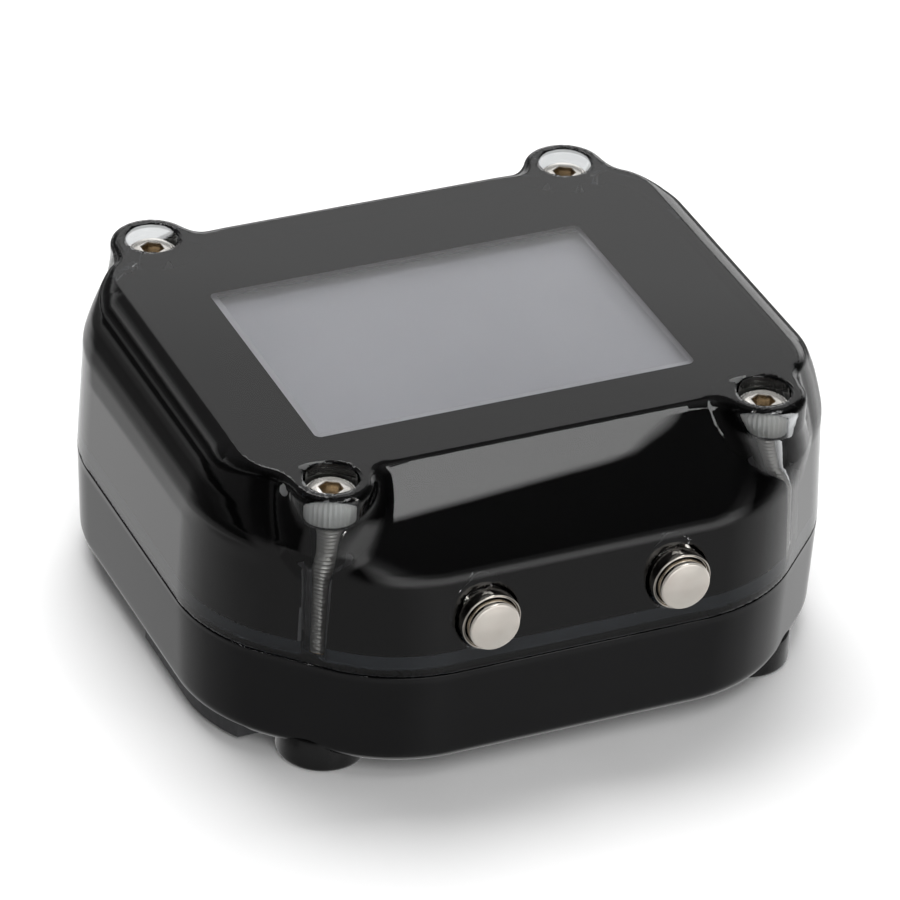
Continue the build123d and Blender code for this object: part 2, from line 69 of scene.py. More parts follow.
def box_mm(node):
    """Lowest and highest corner of a CAD node, in millimetres."""
    low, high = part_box(node)
    return np.array(low) / MM, np.array(high) / MM


COVER_LOW, COVER_HIGH = box_mm("top_cover")
SCREW_LOW, SCREW_HIGH = box_mm("cover_screws")
FOOT_HIGH = box_mm("feet")[1]
CASE_LOW = box_mm("bottom_case")[0]
BUTTON_LOW, BUTTON_HIGH = box_mm("left_button")
BUSHING_LOW, BUSHING_HIGH = box_mm("left_button_bushing")
GLASS_LOW, GLASS_HIGH = box_mm("lcd_glass")

CENTRE_Y = (COVER_LOW[1] + COVER_HIGH[1]) / 2
PARTING_Z = COVER_LOW[2]
TOP_Z = COVER_HIGH[2]
CASE_BOTTOM_Z = CASE_LOW[2]
HALF_WIDTH = COVER_HIGH[0]
HALF_DEPTH = (COVER_HIGH[1] - COVER_LOW[1]) / 2

SCREW_HEAD_R = 2.75
SCREW_HEAD_H = 3.0
SCREW_X = SCREW_HIGH[0] - SCREW_HEAD_R
SCREW_Y = (SCREW_HIGH[1] - SCREW_LOW[1]) / 2 - SCREW_HEAD_R
SCREW_SEAT_Z = SCREW_HIGH[2] - SCREW_HEAD_H
FOOT_R = FOOT_HIGH[0] - SCREW_X
BUTTON_X = -(BUTTON_LOW[0] + BUTTON_HIGH[0]) / 2
BUTTON_Z = (BUTTON_LOW[2] + BUTTON_HIGH[2]) / 2
CORNERS = [(x, y) for x in (-SCREW_X, SCREW_X) for y in (CENTRE_Y - SCREW_Y, CENTRE_Y + SCREW_Y)]


# ---- the housing's shape: level by level, a rectangle with cut, rounded corners ----
# Each profile is a list of knots: the level above the ground and what is added there to the
# size at the parting line. RADIUS_PROFILE gives the corners' radius itself.

WIDTH_PROFILE = (
    (2.2, -0.4), (14.0, 0.0), (24.5, -0.4), (27.0, -0.6), (29.0, -1.0), (30.6, -1.42),
    (31.7, -1.86), (33.5, -2.72), (34.2, -3.4),
)
DEPTH_PROFILE = ((2.2, -0.4), (14.0, 0.0), (25.1, -1.2), (34.2, -10.9))
CUT_PROFILE = ((2.2, -0.6), (14.0, 0.0), (27.1, -0.75), (34.2, -4.7))
RADIUS_PROFILE = ((2.2, 18.0), (14.0, 18.0), (25.1, 18.0), (29.5, 14.0), (34.2, 10.0))
CORNER_CUT = 57.9
WIDTH_CREASE = 0.45
DEPTH_CREASE = 0.75
CUT_CREASE = 0.9
RADIUS_CREASE = 1.0
CREASE_SAMPLES = 21
SHOULDER_CROWN = 0.2
SHOULDER_LEVELS = (25.5, 34.2)
RUN_ON = 5.0
LEVELS = np.linspace(-1.0, 38.0, 781)


def smooth_profile(knots, crease):
    """Values at LEVELS along straight runs between knots, each knot rounded over a crease.

    The last run goes on above the top, for the fields of the inner surfaces.
    """
    z, value = np.array(knots).T
    last = (value[-1] - value[-2]) / (z[-1] - z[-2])
    z = np.append(z, z[-1] + RUN_ON)
    value = np.append(value, value[-1] + RUN_ON * last)
    spread = np.linspace(-crease, crease, CREASE_SAMPLES)
    return np.interp(LEVELS[:, None] + spread[None, :], z, value).mean(axis=1)


def crown(low, high, rise):
    """A slight bulge between two levels, so that a sloping face isn't quite flat."""
    share = np.clip((LEVELS - low) / (high - low), 0.0, 1.0)
    return 4 * rise * share * (1 - share)


WIDTHS = HALF_WIDTH + smooth_profile(WIDTH_PROFILE, WIDTH_CREASE)
DEPTHS = HALF_DEPTH + smooth_profile(DEPTH_PROFILE, DEPTH_CREASE)
DEPTHS += crown(*SHOULDER_LEVELS, SHOULDER_CROWN)
CUTS = CORNER_CUT + smooth_profile(CUT_PROFILE, CUT_CREASE)
RADII = smooth_profile(RADIUS_PROFILE, RADIUS_CREASE)


def segment_distance(x, y, ax, ay, bx, by):
    """Distance from points to the segment a-b."""
    run_x = bx - ax
    run_y = by - ay
    along = ((x - ax) * run_x + (y - ay) * run_y) / np.maximum(run_x**2 + run_y**2, TINY)
    along = np.clip(along, 0.0, 1.0)
    return np.hypot(x - ax - along * run_x, y - ay - along * run_y)


def wall(x, y, z, inset=0.0, drop=0.0):
    """Distance outside the housing's side wall, measured in plan.

    The wall can be pulled in by inset, and lowered by drop.
    """
    px = np.abs(x)
    py = np.abs(y - CENTRE_Y)
    level = z + drop
    radius = np.interp(level, LEVELS, RADII)
    a = np.interp(level, LEVELS, WIDTHS) - radius
    b = np.interp(level, LEVELS, DEPTHS) - radius
    c = np.interp(level, LEVELS, CUTS) - radius * sqrt(2)
    zero = 0 * a
    outside = segment_distance(px, py, a, zero, a, c - a)
    outside = np.minimum(outside, segment_distance(px, py, a, c - a, c - b, b))
    outside = np.minimum(outside, segment_distance(px, py, c - b, b, zero, b))
    within = np.maximum(np.maximum(px - a, py - b), (px + py - c) / sqrt(2)) < 0
    return np.where(within, -outside, outside) - radius + inset


def round_max(a, b, radius):
    """Intersection of two fields with its edge rounded."""
    corner = np.hypot(np.maximum(a + radius, 0), np.maximum(b + radius, 0)) - radius
    return np.where((a > -radius) & (b > -radius), corner, np.maximum(a, b))


def round_min(a, b, radius):
    """Union of two fields with its inner corner filleted."""
    return -round_max(-a, -b, radius)


def corner_axis(x, y):
    """Distance to the nearest cover screw's axis."""
    return np.hypot(np.abs(x) - SCREW_X, np.abs(y - CENTRE_Y) - SCREW_Y)


def button_axis(x, z):
    """Distance to the nearest button's axis."""
    return np.hypot(np.abs(x) - BUTTON_X, z - BUTTON_Z)


# ---- a mesh from a field, by dual contouring ----

STEP = 0.36
GRID_MARGIN = 1.5
ROOT_STEPS = 3
GRADIENT_REACH = 0.02
PULL_TO_MIDDLE = 0.08
NORMAL_PROBE = 0.3


def gradients(field, points):
    """Unit gradients of a field at points."""
    moves = np.eye(3) * GRADIENT_REACH
    slopes = [field(*(points + m).T) - field(*(points - m).T) for m in moves]
    slope = np.stack(slopes, axis=1)
    return slope / np.maximum(np.linalg.norm(slope, axis=1, keepdims=True), TINY)


def crossings(field, values, axes, axis):
    """Grid edges along one axis that cross the surface.

    Gives their start indexes, whether they start inside, and the crossing points.
    """
    lower = np.moveaxis(values, axis, 0)[:-1]
    upper = np.moveaxis(values, axis, 0)[1:]
    found = np.argwhere((lower < 0) != (upper < 0))
    start_value = lower[tuple(found.T)]
    end_value = upper[tuple(found.T)]
    index = np.insert(found[:, 1:], axis, found[:, 0], axis=1)
    start = np.stack([axes[k][index[:, k]] for k in range(3)], axis=1)
    step = axes[axis][1] - axes[axis][0]
    low = np.zeros(len(index))
    high = np.ones(len(index))
    low_value = start_value.copy()
    high_value = end_value.copy()
    for _ in range(ROOT_STEPS):
        share = low + (high - low) * low_value / (low_value - high_value)
        points = start.copy()
        points[:, axis] += share * step
        middle = field(*points.T)
        same = (middle < 0) == (low_value < 0)
        low = np.where(same, share, low)
        low_value = np.where(same, middle, low_value)
        high = np.where(same, high, share)
        high_value = np.where(same, high_value, middle)
    return index, start_value < 0, points


def cells_round(index, axis, shape):
    """The four grid cells round each edge along an axis, one row of four for an edge."""
    u, v = [k for k in range(3) if k != axis]
    corners = []
    for du, dv in ((0, 0), (1, 0), (1, 1), (0, 1)):
        cell = index.copy()
        cell[:, u] -= du
        cell[:, v] -= dv
        corners.append(np.ravel_multi_index(cell.T, shape))
    return np.stack(corners, axis=1)


def group_sums(group, values):
    """Sums of the rows of values that share a group number."""
    return np.stack([np.bincount(group, part) for part in values.T], axis=1)


def best_points(group, points, normals):
    """For each group, the point nearest all of its tangent planes, held near their middle."""
    count = np.bincount(group)
    middle = group_sums(group, points) / count[:, None]
    offset = ((points - middle[group]) * normals).sum(axis=1)
    pairs = normals[:, :, None] * normals[:, None, :]
    matrix = group_sums(group, pairs.reshape(-1, 9)).reshape(-1, 3, 3)
    matrix += (PULL_TO_MIDDLE * count)[:, None, None] * np.eye(3)
    target = group_sums(group, normals * offset[:, None])
    return middle + np.linalg.solve(matrix, target[:, :, None])[:, :, 0]


def corner_normals(field, corners):
    """A normal for each face's corner, taken a little inside the face, so that edges stay crisp."""
    middle = corners.mean(axis=1, keepdims=True)
    probe = corners + NORMAL_PROBE * (middle - corners)
    return gradients(field, probe.reshape(-1, 3))


def contour(field, low, high):
    """Vertices, quads and corner normals of the surface field(x, y, z) = 0 inside a box."""
    start = low - GRID_MARGIN * STEP
    end = high + (GRID_MARGIN + 1) * STEP
    axes = [np.arange(start[k], end[k], STEP) for k in range(3)]
    values = field(*np.meshgrid(*axes, indexing="ij"))
    cells, quads, points, normals = [], [], [], []
    for axis in range(3):
        index, inside, crossing = crossings(field, values, axes, axis)
        ring = cells_round(index, axis, values.shape)
        outward = inside if axis != 1 else ~inside
        quads.append(np.where(outward[:, None], ring, ring[:, ::-1]))
        cells.append(ring.ravel())
        points.append(np.repeat(crossing, 4, axis=0))
        normals.append(np.repeat(gradients(field, crossing), 4, axis=0))
    active, where = np.unique(np.concatenate(cells), return_inverse=True)
    vertices = best_points(where, np.concatenate(points), np.concatenate(normals))
    cell_index = np.stack(np.unravel_index(active, values.shape), axis=1)
    cell_low = np.stack([axes[k][cell_index[:, k]] for k in range(3)], axis=1)
    vertices = np.clip(vertices, cell_low, cell_low + STEP)
    faces = np.searchsorted(active, np.concatenate(quads))
    return vertices, faces, corner_normals(field, vertices[faces])


# ---- objects ----

CRISP_ANGLE = 0.6


def make_object(name, vertices, faces, material, replaces, slot, body="housing", normals=None):
    """A mesh object from points in millimetres, riding on a CAD body."""
    mesh = bpy.data.meshes.new(name)
    mesh.from_pydata((vertices * MM).tolist(), [], [list(map(int, face)) for face in faces])
    mesh.polygons.foreach_set("use_smooth", [True] * len(mesh.polygons))
    if normals is None:
        mesh.set_sharp_from_angle(angle=CRISP_ANGLE)
    else:
        mesh.normals_split_custom_set(normals.tolist())
    mesh.materials.append(material)
    piece = bpy.data.objects.new(name, mesh)
    bpy.context.scene.collection.objects.link(piece)
    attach(piece, body)
    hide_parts(replaces)
    return piece


def field_object(name, field, low, high, material, **details):
    """A piece whose surface is a field's zero, kept inside a box."""
    vertices, faces, normals = contour(field, low, high)
    vertices = np.clip(vertices, low, high)
    return make_object(name, vertices, faces, material, normals=normals, **details)


def face_centres(piece):
    """The middle of each face of a piece, in millimetres."""
    centres = np.empty(3 * len(piece.data.polygons))
    piece.data.polygons.foreach_get("center", centres)
    return centres.reshape(-1, 3) / MM


def ring_faces(pairs, count):
    """Quads that join pairs of rings, each with count points."""
    k = np.arange(count)
    following = (k + 1) % count
    quads = []
    for near, far in pairs:
        a = near * count
        b = far * count
        quads += np.column_stack([a + k, a + following, b + following, b + k]).tolist()
    return quads


def stack(rings):
    """A closed skin over rings of equal length, listed from the bottom up."""
    count = len(rings[0])
    last = (len(rings) - 1) * count
    faces = ring_faces([(row, row + 1) for row in range(len(rings) - 1)], count)
    faces.append(list(range(count))[::-1])
    faces.append(list(range(last, last + count)))
    return np.concatenate(rings), faces


def turned(rows, turns=96):
    """Points and faces round z through rows of (radius, height), listed from the top down.

    A radius is one number, or one for each step round the axis.
    """
    angles = 2 * pi * np.arange(turns) / turns
    rings = []
    for radius, height in rows:
        ring = np.column_stack([radius * np.cos(angles), radius * np.sin(angles), np.zeros(turns)])
        rings.append(ring + (0, 0, height))
    last = (len(rows) - 1) * turns
    faces = ring_faces([(row + 1, row) for row in range(len(rows) - 1)], turns)
    faces.append(list(range(turns)))
    faces.append(list(range(last, last + turns))[::-1])
    return np.concatenate(rings), faces


def rounded(radius, height, reach, start, end, steps):
    """Rows of a round edge about (radius, height), from one angle to another."""
    angles = np.linspace(start, end, steps)
    return [(radius + reach * sin(t), height + reach * cos(t)) for t in angles]


def repeated(points, faces, places):
    """Copies of one shape at several places, as one mesh."""
    all_points = np.concatenate([points + np.array(place) for place in places])
    starts = len(points) * np.arange(len(places))
    all_faces = [[start + i for i in face] for start in starts for face in faces]
    return all_points, all_faces


def facing_front(points):
    """Turn a shape from pointing up to pointing at the front."""
    return np.column_stack([points[:, 0], -points[:, 2], points[:, 1]])


# ---- materials ----
# Noise scales are in waves per metre. A relief is a height in millimetres.

BROAD_NOISE = 70.0
METAL_BROAD_NOISE = 220.0
METAL_MARKS = 1500.0
PLASTIC_SHADES = (0.85, 1.2)
METAL_SHADES = (0.9, 1.05)
PLASTIC_BUMP = 0.5
METAL_BUMP = 0.4


def node_material(name, colour, roughness, metallic=0.0, **sockets):
    """A Principled material and its node tree. Sockets are named with underscores."""
    material = bpy.data.materials.new(name)
    material.use_nodes = True
    shader = material.node_tree.nodes["Principled BSDF"]
    shader.inputs["Base Color"].default_value = (*colour, 1.0)
    shader.inputs["Roughness"].default_value = roughness
    shader.inputs["Metallic"].default_value = metallic
    for socket, value in sockets.items():
        shader.inputs[socket.replace("_", " ")].default_value = value
    return material, shader


def noise(material, scale, detail=3.0):
    """Noise over the object's own coordinates."""
    nodes = material.node_tree.nodes
    place = nodes.new("ShaderNodeTexCoord")
    texture = nodes.new("ShaderNodeTexNoise")
    texture.inputs["Scale"].default_value = scale
    texture.inputs["Detail"].default_value = detail
    material.node_tree.links.new(place.outputs["Object"], texture.inputs["Vector"])
    return texture.outputs["Fac"]


def vary(material, source, target, low, high, start=0.3, end=0.7):
    """Drive a value or colour socket from a texture, between two ends."""
    nodes = material.node_tree.nodes
    links = material.node_tree.links
    if isinstance(low, tuple):
        ramp = nodes.new("ShaderNodeValToRGB")
        ramp.color_ramp.elements[0].position = start
        ramp.color_ramp.elements[0].color = (*low, 1.0)
        ramp.color_ramp.elements[1].position = end
        ramp.color_ramp.elements[1].color = (*high, 1.0)
        links.new(source, ramp.inputs["Fac"])
        links.new(ramp.outputs["Color"], target)
        return
    spread = nodes.new("ShaderNodeMapRange")
    spread.inputs["From Min"].default_value = start
    spread.inputs["From Max"].default_value = end
    spread.inputs["To Min"].default_value = low
    spread.inputs["To Max"].default_value = high
    links.new(source, spread.inputs["Value"])
    links.new(spread.outputs["Result"], target)


def bump(material, shader, source, strength, distance):
    """Small relief from a texture. Distance is in millimetres."""
    relief = material.node_tree.nodes.new("ShaderNodeBump")
    relief.inputs["Strength"].default_value = strength
    relief.inputs["Distance"].default_value = distance * MM
    material.node_tree.links.new(source, relief.inputs["Height"])
    material.node_tree.links.new(relief.outputs["Normal"], shader.inputs["Normal"])


def shades(colour, factors):
    """A colour made darker and lighter."""
    return [tuple(min(1.0, part * factor) for part in colour) for factor in factors]


def plastic(name, colour, rough_low, rough_high, relief=0.0, grain=900.0, **sockets):
    """Moulded plastic or rubber with uneven gloss and a fine skin."""
    material, shader = node_material(name, colour, rough_low, **sockets)
    broad = noise(material, BROAD_NOISE)
    fine = noise(material, grain, 4.0)
    vary(material, broad, shader.inputs["Base Color"], *shades(colour, PLASTIC_SHADES))
    vary(material, fine, shader.inputs["Roughness"], rough_low, rough_high)
    if relief:
        bump(material, shader, fine, PLASTIC_BUMP, relief)
    return material


def metal(name, colour, rough_low, rough_high, relief=0.0, metallic=1.0):
    """Plated or drawn metal with fine marks."""
    material, shader = node_material(name, colour, rough_low, metallic=metallic)
    marks = noise(material, METAL_MARKS, 5.0)
    broad = noise(material, METAL_BROAD_NOISE)
    vary(material, broad, shader.inputs["Base Color"], *shades(colour, METAL_SHADES))
    vary(material, marks, shader.inputs["Roughness"], rough_low, rough_high)
    if relief:
        bump(material, shader, marks, METAL_BUMP, relief)
    return material


def clear_plastic():
    """Polycarbonate: clear, with a faint unevenness from moulding."""
    material, shader = node_material(
        "clear_polycarbonate", (0.80, 0.815, 0.825), 0.0, IOR=1.58, Transmission_Weight=1.0)
    flow = noise(material, 60.0, 2.0)
    vary(material, flow, shader.inputs["Roughness"], 0.0, 0.012)
    bump(material, shader, flow, 0.25, 0.02)
    return material


def contact_film():
    """Where the mask is moulded against the clear cover, so that nothing shows between them."""
    material, shader = node_material("mask_contact", (0.02, 0.02, 0.02), 0.5, Alpha=0.0)
    vary(material, noise(material, BROAD_NOISE), shader.inputs["Roughness"], 0.4, 0.6)
    return material


def display_material():
    """Grey polarised display face."""
    dark = (0.40, 0.388, 0.412)
    light = (0.475, 0.462, 0.486)
    material, shader = node_material("display_face", dark, 0.3, Specular_IOR_Level=0.35)
    vary(material, noise(material, 28.0, 2.0), shader.inputs["Base Color"], dark, light)
    vary(material, noise(material, 2400.0, 2.0), shader.inputs["Roughness"], 0.3, 0.4)
    return material


MATERIALS = {
    "clear_cover": clear_plastic(),
    "mask_contact": contact_film(),
    "flange_back": plastic(
        "flange_back", (0.042, 0.048, 0.058), 0.3, 0.4, Specular_IOR_Level=0.1),
    "column_frost": plastic("column_frost", (0.13, 0.13, 0.135), 0.4, 0.6, 0.01, 1500.0),
    "black_mask": plastic(
        "mask_gloss_black", (0.0012, 0.0012, 0.0014), 0.3, 0.4, Specular_IOR_Level=0.0),
    "black_case": plastic("case_gloss_black", (0.0042, 0.0042, 0.0045), 0.05, 0.09),
    "door_plastic": plastic("door_matt_grey", (0.045, 0.045, 0.048), 0.5, 0.65, 0.02, 1600.0),
    "foot_rubber": plastic("foot_black", (0.008, 0.008, 0.008), 0.16, 0.28, 0.004),
    "seal_rubber": plastic("seal_black", (0.02, 0.02, 0.02), 0.55, 0.7, 0.01),
    "plated_steel": metal("screw_nickel", (0.92, 0.89, 0.84), 0.14, 0.24, metallic=0.78),
    # The knurled side: the screw's own plating made lighter and mostly matt, a painted sheen.
    "knurl_painted_sheen": metal("knurl_painted_sheen", (1.0, 0.97, 0.92), 0.28, 0.42, metallic=0.3),
    # The thread: the screw's own plating coloured darker to dim its reflection, painted shade.
    "shank_painted_shade": metal("shank_painted_shade", (0.50, 0.48, 0.45), 0.35, 0.55, relief=0.05, metallic=0.7),
    # The hex socket: the screw's own plating, coloured darker and warmer, painted shade of the
    # recess.
    "socket_painted_shade": metal("socket_painted_shade", (0.84, 0.74, 0.60), 0.16, 0.3),
    "button_nickel": metal("button_nickel", (1.0, 0.91, 0.83), 0.13, 0.18, metallic=0.68),
    "bushing_nickel": metal("bushing_nickel", (0.92, 0.87, 0.80), 0.06, 0.12),
    "spring_steel": metal("drawn_wire", (0.55, 0.55, 0.56), 0.25, 0.4),
    "contact_nickel": metal("contact_nickel", (0.68, 0.66, 0.62), 0.2, 0.35),
    "insert_brass": metal("insert_brass", (0.72, 0.52, 0.22), 0.2, 0.35),
    "display_glass": display_material(),
    "diffuser_white": plastic("diffuser", (0.8, 0.81, 0.8), 0.4, 0.5),
    "holder_white": plastic("holder", (0.68, 0.68, 0.67), 0.45, 0.6),
    "board_green": plastic("solder_mask", (0.02, 0.16, 0.07), 0.25, 0.4),
    "chip_black": plastic("chip_black", (0.025, 0.025, 0.025), 0.45, 0.6),
    "shield_tin": metal("shield_tin", (0.66, 0.66, 0.66), 0.2, 0.38),
    "cell_sleeve": plastic("cell_sleeve", (0.30, 0.31, 0.33), 0.3, 0.4),
}
SLOTS = {part["node"]: part["material_slot"] for part in frame["record"]["subparts"]}
for cad_node, slot_name in SLOTS.items():
    surface = frame["nodes"][cad_node].data.materials
    surface.clear()
    surface.append(MATERIALS[slot_name])


# ---- clear cover and black mask ----

COVER_WALL = 2.2
ROOF = 2.0
CAVITY_EDGE = 0.7
COVER_RIM_EDGE = 0.12
HOLE_EDGE = 0.2
COUNTERBORE_R = 2.95
CLEARANCE_R = 1.6
BUTTON_HOLE_R = 3.6
BUTTON_HOLE_DEPTH = 8.0
RIB_WIDTH = 2.7
RIB_FILLET = 0.4
COLUMN_FILLET = 0.6
BOSS_R = 4.65
BOSS_FILLET = 2.0

# A radius or a rounding that changes along a distance: the distances, then the values there.
BOSS_TAPER = ((19.5, 27.5), (1.0, BOSS_R))
COLUMN_TAPER = ((24.6, 26.4, 28.2, 30.0), (2.3, 3.6, 4.8, 5.3))
BOSS_EDGE = ((5.0, 9.0), (0.9, 0.45))
SIDE_EDGE = ((29.0, 32.5), (0.0, 1.35))
SIDE_EDGE_SHARE = ((7.0, 12.0), (0.0, 1.0))

MASK_GAP = 0.15
MASK_WALL = 1.0
MASK_MARGIN = 1.0
MASK_TOP_EDGE = 0.5
MASK_INNER_EDGE = 0.3
MASK_EDGE = 0.1
MASK_BOTTOM_EDGE = 0.2
MASK_BOTTOM_Z = PARTING_Z + 1.4
MASK_BUTTON_HOLE_R = 3.5
SLEEVE_WALL = 0.8
WINDOW_HALF_X = 21.85
WINDOW_HALF_Y = 15.1
WINDOW_X = (GLASS_LOW[0] + GLASS_HIGH[0]) / 2 - 0.45
WINDOW_Y = (GLASS_LOW[1] + GLASS_HIGH[1]) / 2 + 0.4
WINDOW_CORNER_R = 0.4
WINDOW_EDGE = 0.05
WINDOW_DEPTH = 5.0
WINDOW_UNDERCUT = 1.8

# How near to a surface a face of the cover has to be to count as part of it.
ON_FACE = 0.05
FROST_REACH = 0.25
HEAD_REACH = 1.0
CONTACT_REACH = 2.2 * MASK_GAP
HEAD_CONTACT_REACH = 6 * MASK_GAP
FLANGE_FACE_DEPTH = 0.04
FLANGE_FACE_INSET = 0.3


def column(x, y, z):
    """Clear material round a screw: a wide head that narrows to a ribbed column."""
    stem = corner_axis(x, y) - np.interp(z, *COLUMN_TAPER)
    px = np.abs(x) - SCREW_X
    py = np.abs(y - CENTRE_Y) - SCREW_Y
    rib = np.maximum(np.abs(px - py) / sqrt(2) - RIB_WIDTH / 2, -(px + py) / sqrt(2))
    return round_min(stem, rib, RIB_FILLET)


def button_hole(x, y, z, radius):
    """The two holes through the front wall for the buttons."""
    front = CENTRE_Y - HALF_DEPTH
    return np.maximum(button_axis(x, z) - radius, y - front - BUTTON_HOLE_DEPTH)


def cavity_field(x, y, z):
    """The space inside the clear cover, round the screw columns."""
    cavity = round_max(wall(x, y, z, COVER_WALL, ROOF), z - TOP_Z + ROOF, CAVITY_EDGE)
    return round_max(cavity, -column(x, y, z), COLUMN_FILLET)


def top_edge(x, axis):
    """Rounding of the roof's edge: fuller round the bosses and along the left and right."""
    side = np.interp(np.abs(x), *SIDE_EDGE) * np.interp(axis, *SIDE_EDGE_SHARE)
    return np.interp(axis, *BOSS_EDGE) + side


def cover_field(x, y, z):
    """The clear cover: housing and bosses, less the inside, the screw bores and the holes."""
    axis = corner_axis(x, y)
    side = round_min(wall(x, y, z), axis - np.interp(z, *BOSS_TAPER), BOSS_FILLET)
    outside = round_max(side, z - TOP_Z, top_edge(x, axis))
    shell = np.maximum(outside, -cavity_field(x, y, z))
    shell = round_max(shell, PARTING_Z - z, COVER_RIM_EDGE)
    bore = np.maximum(axis - COUNTERBORE_R, SCREW_SEAT_Z - z)
    shell = round_max(shell, -bore, HOLE_EDGE)
    shell = np.maximum(shell, CLEARANCE_R - axis)
    return round_max(shell, -button_hole(x, y, z, BUTTON_HOLE_R), HOLE_EDGE)


def window_field(x, y, z):
    """The display window in the mask, wider below the mask's top face."""
    beyond_x = np.abs(x - WINDOW_X) - WINDOW_HALF_X
    beyond_y = np.abs(y - WINDOW_Y) - WINDOW_HALF_Y
    flare = np.maximum(0, TOP_Z - ROOF - z)
    window = round_max(beyond_x, beyond_y, WINDOW_CORNER_R) - WINDOW_UNDERCUT * flare
    return np.maximum(window, TOP_Z - WINDOW_DEPTH - z)


def mask_field(x, y, z):
    """The black mask: a thin shell under the cover, with the window and the columns' slots."""
    inset = COVER_WALL + MASK_GAP
    drop = ROOF + MASK_GAP / 2
    inner_drop = drop + MASK_WALL
    outside = round_max(wall(x, y, z, inset, drop), z - TOP_Z + drop, MASK_TOP_EDGE)
    inside = wall(x, y, z, inset + MASK_WALL, inner_drop)
    inside = round_max(inside, z - TOP_Z + inner_drop, MASK_INNER_EDGE)
    mask = round_max(outside, -inside, MASK_EDGE)
    mask = round_max(mask, MASK_BOTTOM_Z - z, MASK_BOTTOM_EDGE)
    mask = round_max(mask, -window_field(x, y, z), WINDOW_EDGE)
    around = column(x, y, z)
    sleeve = np.maximum(around - SLEEVE_WALL - MASK_GAP, outside)
    mask = np.minimum(mask, np.maximum(sleeve, MASK_BOTTOM_Z - z))
    mask = round_max(mask, MASK_GAP - around, MASK_EDGE)
    return np.maximum(mask, -button_hole(x, y, z, MASK_BUTTON_HOLE_R))


def clear_cover():
    """The cover, with the faces that don't show as clear set apart.

    Those are the faces against the mask, the flange's back and the frosted lower columns.
    """
    cover = field_object("clear_cover", cover_field, COVER_LOW, COVER_HIGH,
                         MATERIALS["clear_cover"], replaces="top_cover", slot="clear_cover")
    for extra in ("mask_contact", "flange_back", "column_frost"):
        cover.data.materials.append(MATERIALS[extra])
    contact_index, flange_index, frost_index = 1, 2, 3
    x, y, z = face_centres(cover).T
    around = column(x, y, z)
    inner = np.abs(cavity_field(x, y, z)) < ON_FACE
    frosted = inner & (around < FROST_REACH) & (z < COLUMN_TAPER[0][0])
    at_head = (around < HEAD_REACH) & (z > COLUMN_TAPER[0][-1] - HEAD_REACH)
    contact_reach = np.where(at_head, HEAD_CONTACT_REACH, CONTACT_REACH)
    touching = inner & (np.abs(mask_field(x, y, z)) < contact_reach)
    bottom = (z < PARTING_Z + FLANGE_FACE_DEPTH) & (wall(x, y, z) < -FLANGE_FACE_INSET)
    flange = (inner & (z < MASK_BOTTOM_Z)) | bottom
    slots = np.where(touching, contact_index, 0)
    slots = np.where(frosted, frost_index, slots)
    slots = np.where(flange, flange_index, slots)
    cover.data.polygons.foreach_set("material_index", slots)


def black_mask():
    """The mask under the cover."""
    field_object("black_mask", mask_field, COVER_LOW + MASK_MARGIN, COVER_HIGH - MASK_MARGIN,
                 MATERIALS["black_mask"], replaces="inner_mask", slot="black_mask")


clear_cover()
black_mask()


# ---- display gasket ----

GASKET_WALL = 0.25
GASKET_CORNER_R = 0.8


def rounded_rectangle(half_x, half_y, radius, corner_steps=7):
    """Points round a rectangle with rounded corners, seen anticlockwise from above."""
    points = []
    for k, (sx, sy) in enumerate(((1, 1), (-1, 1), (-1, -1), (1, -1))):
        middle_x = sx * (half_x - radius)
        middle_y = sy * (half_y - radius)
        for t in np.linspace(k * pi / 2, (k + 1) * pi / 2, corner_steps):
            points.append((middle_x + radius * cos(t), middle_y + radius * sin(t)))
    return np.array(points)


def display_gasket():
    """Thin rubber ring round the display, under the mask."""
    low, high = box_mm("lcd_gasket")
    middle = (low + high) / 2
    half = (high - low) / 2
    rings = []
    for inset, z in ((0.0, low[2]), (0.0, high[2]), (GASKET_WALL, high[2]), (GASKET_WALL, low[2])):
        outline = rounded_rectangle(half[0] - inset, half[1] - inset, GASKET_CORNER_R - inset)
        rings.append(np.column_stack([outline + middle[:2], np.full(len(outline), z)]))
    pairs = [(row, (row + 1) % len(rings)) for row in range(len(rings))]
    faces = ring_faces(pairs, len(rings[0]))
    make_object("display_gasket", np.concatenate(rings), faces, MATERIALS["seal_rubber"],
                replaces="lcd_gasket", slot=SLOTS["lcd_gasket"])


display_gasket()


# ---- lower case ----

CASE_EDGE = 2.0
CASE_RIM = 0.08
CASE_LEDGE_Z = PARTING_Z - 0.2

# (height, inset) from the ledge under the cover, over the lip and down to the floor inside.
CASE_LINING = (
    (CASE_LEDGE_Z, 0.35), (PARTING_Z, 0.4), (PARTING_Z, 3.0), (PARTING_Z - 0.2, 3.2),
    (CASE_BOTTOM_Z + 2.6, 3.2), (CASE_BOTTOM_Z + 2.2, 3.6),
)


def outline_ring(z, inset, level, arc_steps=20):
    """Points at height z round the housing's outline at a level, pulled in by inset."""
    radius = float(np.interp(level, LEVELS, RADII))
    a = float(np.interp(level, LEVELS, WIDTHS)) - radius
    b = float(np.interp(level, LEVELS, DEPTHS)) - radius
    c = float(np.interp(level, LEVELS, CUTS)) - radius * sqrt(2)
    reach = radius - inset
    points = []
    for k, (x, y) in enumerate(((a, c - a), (c - b, b))):
        for t in np.linspace(k * pi / 4, (k + 1) * pi / 4, arc_steps):
            points.append((x + reach * cos(t), y + reach * sin(t)))
    quarter = np.array(points)
    back = quarter[::-1]
    ring = np.concatenate([quarter, back * (-1, 1), quarter * (-1, -1), back * (1, -1)])
    return np.column_stack([ring[:, 0], ring[:, 1] + CENTRE_Y, np.full(len(ring), z)])


def round_edge(radius, steps):
    """(rise, inset) from a round edge's side to its end face."""
    angles = np.linspace(0.0, pi / 2, steps)
    return [(radius * (1 - sin(t)), radius * (1 - cos(t))) for t in angles]


